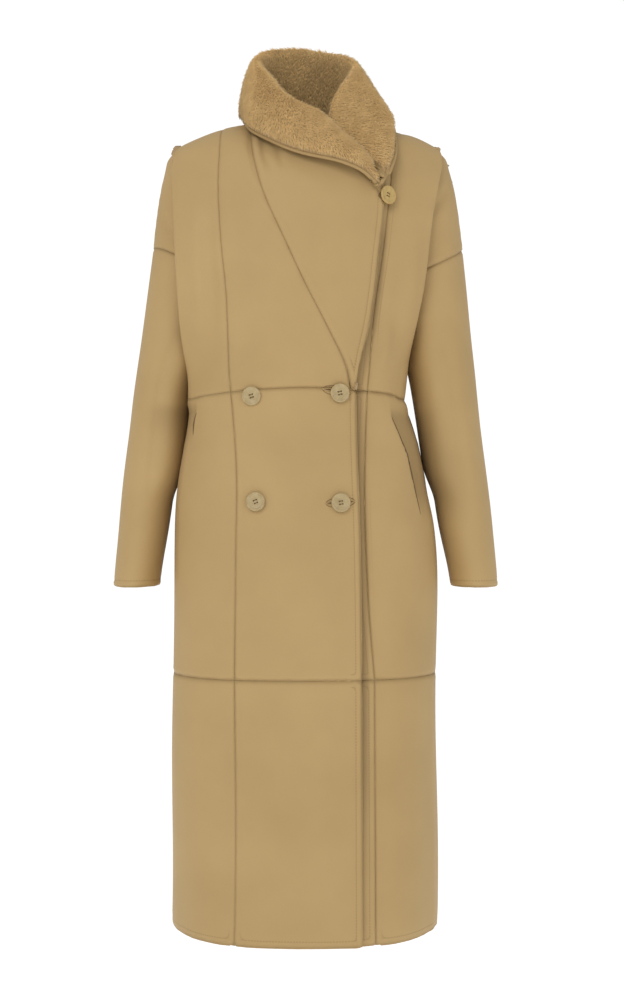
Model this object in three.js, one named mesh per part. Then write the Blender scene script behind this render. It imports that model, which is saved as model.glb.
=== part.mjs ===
// A long double-breasted shearling coat, worn form with no wearer, as hollow walls of cloth.
// Millimetres, +Z up. The front looks along -Y and the wearer's right side lies on -X.
// The origin is between the shoulders, at the height of the neck base.
import * as THREE from "three";

// Driving dimensions
const WALL = 5;
const SEAM_GAP = 0.3;
const LAYER_GAP = 3;
const COLLAR_WALL = 8;
const YOKE_Z = -60;
const UNDERARM_Z = -240;
const WAIST_CENTRE_Z = -396;
const WAIST_DROP = 14;
const SKIRT_Z = -806;
const HEM_Z = -1170;
const CUFF_Z = -680;
const SLEEVE_COLUMNS = 8;
const LIP_RADIUS = 8;
const BUTTON_RADIUS = 13.5;
const BUTTON_THICKNESS = 4;

// Body sections, one row for each height. lip is where the front rolls back beside the sleeve,
// out and in are the sleeve's outer and inner edges, armY and armDepth its middle and half depth,
// plain is 0 where the body folds round the sleeve and 1 where it hangs as a plain tube.
const LEFT_ROWS = [
  { z: -60, lip: 197, out: 207, in: 92, armY: 14, armDepth: 42, plain: 0 },
  { z: -100, lip: 193, out: 216, in: 96, armY: 15, armDepth: 55, plain: 0 },
  { z: -150, lip: 191, out: 223, in: 101, armY: 16, armDepth: 61, plain: 0 },
  { z: -200, lip: 189.5, out: 229, in: 106, armY: 17, armDepth: 64, plain: 0 },
  { z: -240, lip: 187.5, out: 235, in: 112, armY: 17, armDepth: 65, plain: 0 },
  { z: -300, lip: 184, out: 243, in: 134, armY: 17, armDepth: 65, plain: 0 },
  { z: -345, lip: 179, out: 249, in: 159, armY: 16, armDepth: 63.5, plain: 0 },
  { z: -380, lip: 173.5, out: 254, in: 177, armY: 15, armDepth: 62, plain: 0.3 },
  { z: -405, lip: 173.5, out: 257, in: 179, armY: 14, armDepth: 64, plain: 1 },
  { z: -455, lip: 173.3, out: 261, in: 182, armY: 12, armDepth: 63, plain: 1 },
  { z: -487, lip: 179.4, out: 265, in: 186, armY: 10, armDepth: 62, plain: 1 },
  { z: -523, lip: 186.3, out: 269, in: 191.5, armY: 8, armDepth: 62, plain: 1 },
  { z: -572, lip: 191.5, out: 273, in: 197, armY: 5, armDepth: 61, plain: 1 },
  { z: -630, lip: 193, out: 278, in: 206, armY: 1, armDepth: 60, plain: 1 },
  { z: -680, lip: 193.5, out: 283, in: 213, armY: -3, armDepth: 60, plain: 1 },
  { z: -806, lip: 193, out: 283, in: 213, armY: -3, armDepth: 60, plain: 1 },
  { z: -1170, lip: 195.5, out: 283, in: 213, armY: -3, armDepth: 60, plain: 1 },
];
const RIGHT_ROWS = [
  { z: -60, lip: 203, out: 213, in: 100, armY: 14, armDepth: 42, plain: 0 },
  { z: -100, lip: 194, out: 224, in: 103, armY: 15, armDepth: 55, plain: 0 },
  { z: -150, lip: 184, out: 231, in: 108, armY: 16, armDepth: 61, plain: 0 },
  { z: -200, lip: 179, out: 237, in: 112, armY: 17, armDepth: 64, plain: 0 },
  { z: -240, lip: 175, out: 241, in: 116, armY: 17, armDepth: 65, plain: 0 },
  { z: -295, lip: 165, out: 246, in: 137, armY: 17, armDepth: 65, plain: 0 },
  { z: -325, lip: 160, out: 249, in: 153, armY: 17, armDepth: 65, plain: 0.1 },
  { z: -355, lip: 154, out: 253, in: 162, armY: 16, armDepth: 65, plain: 0.9 },
  { z: -405, lip: 147, out: 258, in: 170, armY: 14, armDepth: 64, plain: 1 },
  { z: -455, lip: 166, out: 263, in: 177, armY: 12, armDepth: 63, plain: 1 },
  { z: -487, lip: 173.5, out: 267, in: 181, armY: 10, armDepth: 62, plain: 1 },
  { z: -523, lip: 180, out: 271, in: 187, armY: 8, armDepth: 62, plain: 1 },
  { z: -572, lip: 186, out: 276, in: 193, armY: 5, armDepth: 61, plain: 1 },
  { z: -630, lip: 193, out: 280, in: 206, armY: 1, armDepth: 60, plain: 1 },
  { z: -680, lip: 194, out: 284, in: 216, armY: -3, armDepth: 60, plain: 1 },
  { z: -806, lip: 193, out: 284, in: 216, armY: -3, armDepth: 60, plain: 1 },
  { z: -1170, lip: 195.5, out: 284, in: 216, armY: -3, armDepth: 60, plain: 1 },
];

// How far the body stands out at the centre front and the centre back
const DEPTH_ROWS = [
  { z: -20, front: 84, back: 92 },
  { z: -60, front: 96, back: 104 },
  { z: -100, front: 106, back: 113 },
  { z: -150, front: 114, back: 119 },
  { z: -240, front: 120, back: 120 },
  { z: -320, front: 120, back: 112 },
  { z: -405, front: 113, back: 101 },
  { z: -500, front: 121, back: 112 },
  { z: -620, front: 134, back: 128 },
  { z: -806, front: 150, back: 146 },
  { z: -1170, front: 171, back: 166 },
];

// Seam lines across the fronts, as x at each height
const PRINCESS_RIGHT = [
  { z: -20, x: -119.6 }, { z: -92, x: -125 }, { z: -136, x: -123.4 }, { z: -199, x: -119 },
  { z: -261, x: -111.6 }, { z: -316, x: -109.6 }, { z: -388, x: -107.2 }, { z: -404, x: -104.2 },
  { z: -447, x: -100.2 }, { z: -496, x: -96.5 }, { z: -535, x: -95 }, { z: -611, x: -97.4 },
  { z: -777, x: -97.6 }, { z: -945, x: -96.3 }, { z: -1170, x: -97.5 },
];
const CHEST_DIAGONAL = [
  { z: 6, x: -86 }, { z: -21, x: -83.7 }, { z: -66, x: -74.3 }, { z: -114, x: -61.5 },
  { z: -178, x: -32.4 }, { z: -246, x: -1.4 }, { z: -316, x: 35.1 }, { z: -380, x: 63 }, { z: -410, x: 65 },
];
const TOP_EDGE = [
  { z: -60, x: 117 }, { z: -110, x: 115 }, { z: -146, x: 111.4 }, { z: -204, x: 104.7 },
  { z: -260, x: 99 }, { z: -316, x: 90.7 }, { z: -358, x: 80.2 }, { z: -393, x: 72.5 },
  { z: -457, x: 73.1 }, { z: -527, x: 75.1 }, { z: -597, x: 77.7 }, { z: -808, x: 80 }, { z: -1170, x: 79.5 },
];
const PRINCESS_LEFT = [
  { z: -5, x: 130 }, { z: -80, x: 127 }, { z: -146, x: 119.7 }, { z: -192, x: 115.3 },
  { z: -236, x: 108.5 }, { z: -290, x: 101.8 }, { z: -344, x: 96.6 }, { z: -408, x: 90 },
  { z: -476, x: 86.5 }, { z: -555, x: 85 }, { z: -639, x: 88 }, { z: -722, x: 92 },
  { z: -808, x: 99.6 }, { z: -1170, x: 100 },
];
const UNDER_EDGE = [
  { z: -100, x: 22 }, { z: -160, x: 4 }, { z: -260, x: -40 }, { z: -400, x: -74 }, { z: -1170, x: -80 },
];

// Height of the shoulder line at each distance from the middle
const SHOULDER_LEFT = [
  { x: 80, z: 6 }, { x: 93, z: 4 }, { x: 123, z: -4 }, { x: 158, z: -17 }, { x: 186, z: -31 },
  { x: 200, z: -45 }, { x: 205, z: -53 },
];
const SHOULDER_RIGHT = [
  { x: 80, z: 6 }, { x: 100, z: 3 }, { x: 132, z: -5 }, { x: 165, z: -17 }, { x: 192, z: -32 },
  { x: 206, z: -46 }, { x: 211, z: -53 },
];

// Necklines, from the side of the neck to the front edge: of the overlapping front, which ends
// at the top button, and of the front beneath it.
const NECKLINE_RIGHT = [
  { t: 0, x: -80, y: 14, z: 6 },
  { t: 0.16, x: -70, y: -28, z: -3 },
  { t: 0.32, x: -42, y: -62, z: -20 },
  { t: 0.5, x: 0, y: -79, z: -38 },
  { t: 0.72, x: 48, y: -92, z: -62 },
  { t: 1, x: 113, y: -97, z: -112 },
];
const NECKLINE_LEFT = [
  { t: 0, x: 80, y: 14, z: 6 },
  { t: 0.25, x: 73, y: -24, z: -6 },
  { t: 0.5, x: 58, y: -50, z: -28 },
  { t: 0.75, x: 42, y: -66, z: -56 },
  { t: 1, x: 24, y: -80, z: -95 },
];
const SHOULDER_Y = 14;
const NECK_HALF_WIDTH = 80;
const NECK_BACK = 62;

const BODY = [LEFT_ROWS, RIGHT_ROWS];
const SHOULDER = [SHOULDER_LEFT, SHOULDER_RIGHT];
const SEAM_DROP_POWER = [1.14, 0.64];

const lerp = THREE.MathUtils.lerp;
const clamp = THREE.MathUtils.clamp;
const smooth = THREE.MathUtils.smoothstep;

// Reads a table column at a place with a smooth curve that doesn't overshoot.
function read(rows, place, at, column) {
  const rising = rows[1][place] > rows[0][place];
  const value = (i) => rows[i][column];
  const where = (i) => rows[i][place];
  const last = rows.length - 1;
  if (rising ? at <= where(0) : at >= where(0)) return value(0);
  if (rising ? at >= where(last) : at <= where(last)) return value(last);
  let i = 0;
  while (rising ? at > where(i + 1) : at < where(i + 1)) i += 1;
  const slope = (k) => (value(k + 1) - value(k)) / (where(k + 1) - where(k));
  const tangent = (k) => {
    if (k === 0 || k === last) return slope(k === 0 ? 0 : last - 1);
    const before = slope(k - 1);
    const after = slope(k);
    return before * after <= 0 ? 0 : (2 * before * after) / (before + after);
  };
  const width = where(i + 1) - where(i);
  const t = (at - where(i)) / width;
  const h00 = (1 + 2 * t) * (1 - t) ** 2;
  const h10 = t * (1 - t) ** 2;
  const h01 = t * t * (3 - 2 * t);
  const h11 = t * t * (t - 1);
  return h00 * value(i) + h10 * width * tangent(i) + h01 * value(i + 1) + h11 * width * tangent(i + 1);
}

const lineX = (line, z) => read(line, "z", z, "x");
const bodyAt = (side, z, column) => read(BODY[side], "z", z, column);
const signOf = (side) => (side === 0 ? -1 : 1);
const depthAt = (face, z) => read(DEPTH_ROWS, "z", z, face < 0 ? "front" : "back");

// The sleeve is an ellipse at each height. turn is 0 at its outer middle and PI at the underarm.
function sleeveEllipse(side, z) {
  const outer = bodyAt(side, z, "out");
  const inner = bodyAt(side, z, "in");
  return {
    x: (outer + inner) / 2,
    y: bodyAt(side, z, "armY"),
    across: (outer - inner) / 2,
    deep: bodyAt(side, z, "armDepth"),
  };
}

function sleevePoint(side, face, turn, z, out = 0) {
  const arm = sleeveEllipse(side, z);
  const x = arm.x + (arm.across + out) * Math.cos(turn);
  const y = arm.y + face * (arm.deep + out) * Math.sin(turn);
  return new THREE.Vector3(signOf(side) * x, y, z);
}

// The armhole seam drops from the outside of the arm to the underarm.
function armholeZ(side, turn) {
  const share = Math.sin(turn / 2) ** (2 * SEAM_DROP_POWER[side]);
  return lerp(-181, UNDERARM_Z, share);
}

// Depth of the fold in front of and behind the arm, 0 at the shoulder and 1 at the underarm
function foldDepth(z) {
  const t = clamp((-52 - z) / (-52 - UNDERARM_Z), 0, 1);
  return t ** 1.35;
}

const lipRadius = (z) => Math.max(0.8, LIP_RADIUS * Math.sqrt(foldDepth(z)));

// Space between the body and the sleeve where the fold starts
const foldSpace = (face) => (face > 0 ? 9 : 6.5);

// Half the width between the lips: behind the arm the body tucks in further.
function lipReach(side, face, z) {
  const tuck = face > 0 ? 12 * smooth(-z, 250, 330) : 0;
  return bodyAt(side, z, "lip") - tuck;
}

// Where the body starts and ends its way round the sleeve, as turns on the sleeve's ellipse
function foldTurns(side, face, z) {
  const arm = sleeveEllipse(side, z);
  const reach = lipReach(side, face, z) - lipRadius(z) - arm.x;
  const start = Math.acos(clamp(reach / (arm.across + foldSpace(face)), -1, 1));
  const end = lerp(start + 0.1, Math.PI, foldDepth(z));
  return { start, end: Math.max(end, start) };
}

// Space between the body and the sleeve inside the fold: it closes where the two are one cloth.
function foldClearance(face, z, share) {
  const atEnd = z > UNDERARM_Z ? 0 : Math.min(6, 3 + 0.12 * (UNDERARM_Z - z));
  return lerp(foldSpace(face), atEnd, share ** 1.5);
}

const LEAST_LIP_DEPTH = 56;
function lipCorner(side, face, z) {
  const turns = foldTurns(side, face, z);
  const inside = sleevePoint(side, -1, turns.start, z, foldSpace(face));
  const radius = lipRadius(z);
  const least = LEAST_LIP_DEPTH * smooth(-z, 200, 300);
  const frontY = Math.max(Math.abs(inside.y - SHOULDER_Y) + 2 * radius - SHOULDER_Y, least);
  const mirrored = face < 0 ? -frontY : frontY + 2 * SHOULDER_Y;
  return {
    x: lipReach(side, face, z) - radius,
    y: mirrored,
    insideY: face < 0 ? inside.y : 2 * sleeveEllipse(side, z).y - inside.y,
    radius,
  };
}

// The front or back as a shallow arch between the two lips
function archY(side, face, x, z) {
  const corner = lipCorner(side, face, z);
  const share = clamp(Math.abs(x) / corner.x, 0, 1.2);
  const crown = depthAt(face, z);
  return corner.y + (face * crown - corner.y) * (1 - share ** 2.2);
}

// The plain tube of the skirt: a rounded rectangle, squarer at the waist than at the hem
function tubeQuarter(side, face, z) {
  const square = lerp(3.4, 2.6, smooth(-z, 420, 640));
  return { half: bodyAt(side, z, "lip"), deep: depthAt(face, z), middle: 6, power: 2 / square };
}

function tubeY(side, face, x, z) {
  const tube = tubeQuarter(side, face, z);
  const share = clamp(Math.abs(x) / tube.half, 0, 1);
  const rise = (1 - share ** (2 / tube.power)) ** (tube.power / 2);
  return tube.middle + (face * tube.deep - tube.middle) * rise;
}

const plainAt = (side, z) => clamp(bodyAt(side, z, "plain"), 0, 1);
const LIP_SHARE_OF_TUBE = 0.94;

// Where the flat of the front ends and the roll to the side begins
function cornerX(side, face, z) {
  const folded = lipReach(side, face, z) - lipRadius(z);
  const tube = bodyAt(side, z, "lip") * LIP_SHARE_OF_TUBE;
  return lerp(folded, tube, plainAt(side, z));
}

// A point of a front or back between the middle and the corner
function flatPoint(x, face, z) {
  const side = x < 0 ? 0 : 1;
  const plain = plainAt(side, z);
  let y = 0;
  if (plain < 1) y += (1 - plain) * archY(side, face, x, z);
  if (plain > 0) y += plain * tubeY(side, face, x, z);
  return new THREE.Vector3(x, y, z);
}

// A point past the corner. place runs 0 to 1 round the lip and 1 to 2 on to the side seam or the
// armhole fold.
function foldedPoint(side, face, place, z) {
  const sign = signOf(side);
  if (place < 1) {
    const corner = lipCorner(side, face, z);
    const lipTurn = place * Math.PI;
    const x = corner.x + corner.radius * Math.sin(lipTurn);
    const middleY = (corner.y + corner.insideY) / 2;
    const y = middleY + ((corner.y - corner.insideY) / 2) * Math.cos(lipTurn);
    return new THREE.Vector3(sign * x, y, z);
  }
  const share = place - 1;
  const turns = foldTurns(side, face, z);
  const turn = lerp(turns.start, turns.end, share);
  return sleevePoint(side, face, turn, z, foldClearance(face, z, share));
}

function tubePoint(side, face, place, z) {
  const tube = tubeQuarter(side, face, z);
  const first = Math.asin(LIP_SHARE_OF_TUBE ** (1 / tube.power));
  const turn = lerp(first, Math.PI / 2, place / 2);
  const x = tube.half * Math.sin(turn) ** tube.power;
  const y = tube.middle + (face * tube.deep - tube.middle) * Math.cos(turn) ** tube.power;
  return new THREE.Vector3(signOf(side) * x, y, z);
}

function sidePoint(side, face, place, z) {
  const plain = plainAt(side, z);
  if (plain >= 1) return tubePoint(side, face, place, z);
  const folded = foldedPoint(side, face, place, z);
  if (plain <= 0) return folded;
  return folded.lerp(tubePoint(side, face, place, z), plain);
}

// Heights down a panel. row 0 is its top, 1 the yoke line, 2 the underarm, 3 the waist seam,
// 4 the skirt seam and 5 the hem.
function waistZ(x, face) {
  const drop = face < 0 ? (Math.abs(x) / 180) ** 1.5 : 1;
  return WAIST_CENTRE_Z - WAIST_DROP * drop;
}

function heightAt(row, yokeZ, waist) {
  if (row < 2) return lerp(yokeZ, UNDERARM_Z, row - 1);
  if (row < 3) return lerp(UNDERARM_Z, waist, row - 2);
  if (row < 4) return lerp(waist, SKIRT_Z, row - 3);
  return lerp(SKIRT_Z, HEM_Z, row - 4);
}

// The cloth over the shoulder, from its top point to the yoke line; arch is 1 where it leaves
// the shoulder level and 0 where it falls straight from the neck.
function yokePoint(top, bottom, row, arch) {
  const level = lerp(row, Math.sin((row * Math.PI) / 2), arch);
  const drop = lerp(row, 1 - Math.cos((row * Math.PI) / 2), arch);
  return new THREE.Vector3(lerp(top.x, bottom.x, level), lerp(top.y, bottom.y, level), lerp(top.z, bottom.z, drop));
}

function shoulderTop(side, x) {
  return new THREE.Vector3(signOf(side) * x, SHOULDER_Y, read(SHOULDER[side], "x", x, "z"));
}

const SHOULDER_CORNER_X = [183, 189];
const SHOULDER_FOLD_X = [190, 196];
const SHOULDER_END_X = [204.5, 210.5];

// A side piece. place is 0 at its inner seam, 1 at the corner, 3 at the side seam or armhole fold
// and 4 at the outer middle of the arm.
function sideMap(side, face, inner, innerTopX) {
  return (place, row) => {
    const topX = place < 1
      ? lerp(innerTopX, SHOULDER_CORNER_X[side], place)
      : place < 3
        ? lerp(SHOULDER_CORNER_X[side], SHOULDER_FOLD_X[side], (place - 1) / 2)
        : lerp(SHOULDER_FOLD_X[side], SHOULDER_END_X[side], place - 3);
    const at = (lowRow) => {
      if (place > 3) {
        const seamTurn = Math.PI * (4 - place);
        const lowest = armholeZ(side, seamTurn);
        const z = lerp(YOKE_Z, lowest, lowRow - 1);
        const foldZ = lerp(YOKE_Z, UNDERARM_Z, lowRow - 1);
        return sleevePoint(side, face, (4 - place) * foldTurns(side, face, foldZ).end, z);
      }
      const guess = heightAt(lowRow, YOKE_Z, waistZ(inner ? lineX(inner, -400) : 0, face));
      const reach = place < 1 ? lerp(inner ? Math.abs(lineX(inner, guess)) : 0, cornerX(side, face, guess), place) : 175;
      const z = heightAt(lowRow, YOKE_Z, waistZ(reach, face));
      if (place >= 1) return sidePoint(side, face, place - 1, z);
      const innerX = inner ? Math.abs(lineX(inner, z)) : 0;
      return flatPoint(signOf(side) * lerp(innerX, cornerX(side, face, z), place), face, z);
    };
    if (row >= 1) return at(row);
    return yokePoint(topAt(side, face, topX), at(1), row, archAt(side, face, topX));
  };
}

// The top of a panel is the shoulder line, or at the back the neckline between the shoulders.
function topAt(side, face, x) {
  if (x >= NECK_HALF_WIDTH || face < 0) return shoulderTop(side, x);
  const share = 1 - (x / NECK_HALF_WIDTH) ** 2;
  return new THREE.Vector3(signOf(side) * x, SHOULDER_Y + NECK_BACK * Math.sqrt(share), 6 + 8 * share);
}

const archAt = (side, face, x) => smooth(x, NECK_HALF_WIDTH - 30, NECK_HALF_WIDTH + 40);

// A front piece between two seam lines; tops gives its top point at each share of its width.
function frontMap(lineA, lineB, tops, yokes) {
  return (share, row) => {
    const at = (lowRow) => {
      const yokeZ = lerp(yokes[0], yokes[1], share);
      const guess = heightAt(lowRow, yokeZ, WAIST_CENTRE_Z);
      const x = lerp(lineX(lineA, guess), lineX(lineB, guess), share);
      const z = heightAt(lowRow, yokeZ, waistZ(x, -1));
      return flatPoint(lerp(lineX(lineA, z), lineX(lineB, z), share), -1, z);
    };
    if (row >= 1) return at(row);
    const top = tops(share);
    return yokePoint(top.point, at(1), row, top.arch);
  };
}

function necklinePoint(rows, t) {
  return new THREE.Vector3(...["x", "y", "z"].map((column) => read(rows, "t", t, column)));
}

// Moves a point in from an edge of a piece, towards its neighbour inside.
const pulledIn = (point, inner) => {
  const step = inner.clone().sub(point);
  const length = step.length();
  return point.clone().addScaledVector(step, SEAM_GAP / 2 / length);
};

// A sheet collects points with their outward directions and wall, and faces between them.
class Sheet {
  constructor() {
    this.points = [];
    this.normals = [];
    this.walls = [];
    this.faces = [];
  }

  add(point, normal, wall) {
    this.points.push(point);
    this.normals.push(normal);
    this.walls.push(wall);
    return this.points.length - 1;
  }

  // Joins a grid of point numbers with two triangles a cell.
  fill(grid) {
    for (let i = 0; i + 1 < grid.length; i += 1) {
      for (let j = 0; j + 1 < grid[i].length; j += 1) {
        const [a, b, c, d] = [grid[i][j], grid[i + 1][j], grid[i + 1][j + 1], grid[i][j + 1]];
        if ([a, b, c, d].includes(-1)) continue;
        this.faces.push([a, b, c], [a, c, d]);
      }
    }
  }

  // Joins the other half of a piece that is cut whole across the middle.
  append(other) {
    const numbers = other.points.map((point, i) => {
      const onMiddle = Math.abs(point.x) < 0.01;
      const same = onMiddle ? this.points.findIndex((mine) => mine.distanceTo(point) < 0.01) : -1;
      if (same < 0) return this.add(point, other.normals[i], other.walls[i]);
      this.normals[same].add(other.normals[i]).setX(0).normalize();
      return same;
    });
    other.faces.forEach((face) => this.faces.push(face.map((i) => numbers[i]).reverse()));
    return this;
  }

  // The closed wall: the sheet, the same sheet set in by the wall, and a rim between them.
  wall() {
    const count = this.points.length;
    const inside = this.points.map((p, i) => p.clone().addScaledVector(this.normals[i], -this.walls[i]));
    const corners = [...this.points, ...inside];
    const triangles = this.faces.map((face) => [...face]);
    this.faces.forEach(([a, b, c]) => triangles.push([a + count, c + count, b + count]));
    const edges = new Map();
    this.faces.forEach((face) => face.forEach((a, k) => {
      const b = face[(k + 1) % 3];
      const back = `${b},${a}`;
      if (edges.has(back)) edges.delete(back);
      else edges.set(`${a},${b}`, [a, b]);
    }));
    const order = (i) => corners[i].x + 0.37 * corners[i].y + 0.11 * corners[i].z;
    edges.forEach(([a, b]) => {
      if (order(a) < order(b)) triangles.push([b, a, a + count], [b, a + count, b + count]);
      else triangles.push([b, a, b + count], [a, a + count, b + count]);
    });
    return solid(corners, triangles);
  }
}

// A geometry from corners and triangles, turned so that its faces point outwards
function solid(corners, triangles) {
  let volume = 0;
  triangles.forEach(([a, b, c]) => {
    volume += corners[a].dot(corners[b].clone().cross(corners[c]));
  });
  const turned = volume < 0 ? triangles.map(([a, b, c]) => [a, c, b]) : triangles;
  const geometry = new THREE.BufferGeometry().setFromPoints(corners);
  geometry.setIndex(turned.flat());
  return geometry;
}

// The outward direction of a surface at a place, from points close by on it
function normalOf(map, u, v, outward, stepU = 0.004, stepV = 0.004, range = [-1, 9]) {
  const low = Math.max(range[0], u - stepU);
  const high = Math.min(range[1], u + stepU);
  const alongU = map(high, v).sub(map(low, v));
  const alongV = map(u, v + stepV).sub(map(u, Math.max(0, v - stepV)));
  return alongU.cross(alongV).normalize().multiplyScalar(outward);
}

const steps = (from, to, count) => Array.from({ length: count + 1 }, (_, i) => lerp(from, to, i / count));
const joined = (...lists) => [...new Set(lists.flat().map((value) => Math.round(value * 1e6) / 1e6))];

const UPPER_ROWS = joined(steps(0, 1, 3), steps(1, 2, 5), steps(2, 3, 5));
const MIDDLE_ROWS = steps(3, 4, 8);
const LOWER_ROWS = steps(4, 5, 6);
const FOLD_PLACES = [1, 1.3, 1.7, 2, 2.15, 2.32, 2.49, 2.66, 2.83, 3];

// Two pieces that meet at a seam share the direction that their edges face there.
const seamNormals = (mapA, endA, mapB, startB, outward) => (row) => {
  const before = normalOf(mapA, endA, row, outward, 0.01, 0.004, [endA - 0.01, endA]);
  const after = normalOf(mapB, startB, row, outward, 0.01, 0.004, [startB, startB + 0.01]);
  return before.add(after).normalize();
};

// Draws a plain piece: a grid over a map, with its seam edges pulled in and an inward shift.
// startSeam and endSeam give the shared directions of its first and last column.
function plainSheet(map, columns, rows, outward, options = {}) {
  const { shift = () => 0, range = [-1, 9], levelSide = null, levelTop = false } = options;
  const { startSeam, endSeam } = options;
  const last = columns.length - 1;
  const raw = columns.map((u) => rows.map((v) => map(u, v)));
  const normals = columns.map((u, i) => rows.map((v) => {
    if (startSeam && i === 0) return startSeam(v);
    if (endSeam && i === last) return endSeam(v);
    const normal = normalOf(map, u, v, outward, 0.004, 0.004, range);
    if ((levelSide !== null && Math.abs(u - levelSide) < 1e-6) || (levelTop && v === 0)) {
      normal.setY(0).normalize();
    }
    return normal;
  }));
  const sheet = new Sheet();
  const grid = raw.map((column, i) => column.map((point, j) => {
    let place = point.clone();
    const beside = raw[i === 0 ? 1 : i - 1][j];
    const below = column[j === 0 ? 1 : j - 1];
    if ((i === 0 && !options.wholeStart) || i === last) place = pulledIn(place, beside);
    if (j === 0 || j === column.length - 1) place.add(pulledIn(point, below).sub(point));
    place.addScaledVector(normals[i][j], -shift(place));
    const wall = options.wall ? options.wall(columns[i], point.z) : WALL;
    return sheet.add(place, normals[i][j], wall);
  }));
  sheet.fill(grid);
  return sheet;
}

const plainPiece = (...given) => plainSheet(...given).wall();

// The lip is thinner where its roll is tight.
function sideWall(place, z) {
  const tight = Math.min(WALL, 0.72 * lipRadius(z));
  const near = smooth(place, 0.55, 1) * (1 - smooth(place, 3, 3.35));
  return lerp(WALL, tight, near * (z > -420 ? 1 : 0));
}

// A side piece of the upper body: the chest side, its roll round the arm and, above the armhole
// seam, the cap over the arm.
function upperSideSheet(side, face, inner, innerTopX, innerPlaces, shift = () => 0, innerSeam = null) {
  const outward = face * signOf(side);
  const map = sideMap(side, face, inner, innerTopX);
  const cap = steps(3, 4, SLEEVE_COLUMNS);
  const body = joined(innerPlaces, FOLD_PLACES);
  const columns = joined(body, cap);
  const foldColumn = body.length - 1;
  const raw = columns.map((u, i) => UPPER_ROWS.map((v) => (i > foldColumn && v > 2 ? null : map(u, v))));
  const direction = (u, v) => {
    const onFold = Math.abs(u - 3) < 1e-6;
    if (!onFold || v > 2) {
      const range = u > 3 ? [3.0001, 4] : [-1, 3];
      return normalOf(map, u, v, outward, 0.004, 0.004, range);
    }
    const before = normalOf(map, 3, v, outward, 0.004, 0.004, [-1, 3]);
    const after = normalOf(map, 3.0002, v, outward, 0.004, 0.004, [3.0001, 4]);
    return before.add(after).normalize();
  };
  const sheet = new Sheet();
  const lastColumn = columns.length - 1;
  const grid = raw.map((column, i) => column.map((point, j) => {
    if (!point) return -1;
    const row = UPPER_ROWS[j];
    const u = columns[i];
    const normal = direction(u, row);
    const onSideSeam = i === foldColumn && row >= 2;
    if (innerSeam && i === 0) normal.copy(innerSeam(row));
    if (row === 0 || i === lastColumn || onSideSeam) normal.setY(0).normalize();
    if (i === foldColumn && row === 2) normal.set(-0.2 * signOf(side), 0, -1).normalize();
    let place = point.clone();
    const atBottom = j === UPPER_ROWS.length - 1 || (i > foldColumn && row === 2);
    if (i === 0 && inner) place = pulledIn(place, raw[1][j]);
    if (i === lastColumn || onSideSeam) place = pulledIn(place, raw[i - 1][j]);
    if (j === 0) place.add(pulledIn(point, column[1]).sub(point));
    if (atBottom) place.add(pulledIn(point, column[j - 1]).sub(point));
    place.addScaledVector(normal, -shift(place));
    return sheet.add(place, normal, sideWall(u, point.z));
  }));
  sheet.fill(grid);
  return sheet;
}

const upperSide = (...given) => upperSideSheet(...given).wall();

// A side piece below the waist, without the arm
function lowerSideSheet(side, face, inner, rows, innerPlaces, shift = () => 0) {
  const map = sideMap(side, face, inner, 120);
  const columns = joined(innerPlaces, FOLD_PLACES);
  const options = { shift, range: [-1, 3], levelSide: 3, wall: sideWall, wholeStart: !inner };
  return plainSheet(map, columns, rows, face * signOf(side), options);
}

const lowerSide = (...given) => lowerSideSheet(...given).wall();

// The under front lies a wall and a gap deeper wherever the other front covers it.
function underShift(point) {
  const beyond = point.x - lineX(TOP_EDGE, point.z);
  return (WALL + LAYER_GAP) * (1 - smooth(beyond, 2, 40));
}

// A sleeve from the armhole seam to the cuff
function sleeve(side) {
  const turns = Array.from({ length: 2 * SLEEVE_COLUMNS }, (_, i) => (i * Math.PI) / SLEEVE_COLUMNS);
  const rows = [0, 0.09, 0.18, 0.27, 0.36, 0.45, 0.54, 0.63, 0.72, 0.8, 0.87, 0.94, 1];
  const map = (turn, v) => {
    const face = turn < Math.PI ? -1 : 1;
    const folded = turn < Math.PI ? turn : 2 * Math.PI - turn;
    const top = armholeZ(side, folded);
    const z = lerp(top, CUFF_Z, v);
    return sleevePoint(side, face, folded, z);
  };
  const sheet = new Sheet();
  const grid = turns.map((turn) => rows.map((v) => {
    const point = map(turn, v);
    const normal = normalOf((t, w) => map((t + 2 * Math.PI) % (2 * Math.PI), w), turn, v, signOf(side), 0.01);
    if (v === 0) point.z -= SEAM_GAP / 2;
    return sheet.add(point, normal, WALL);
  }));
  sheet.fill([...grid, grid[0]]);
  return sheet.wall();
}

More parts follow.
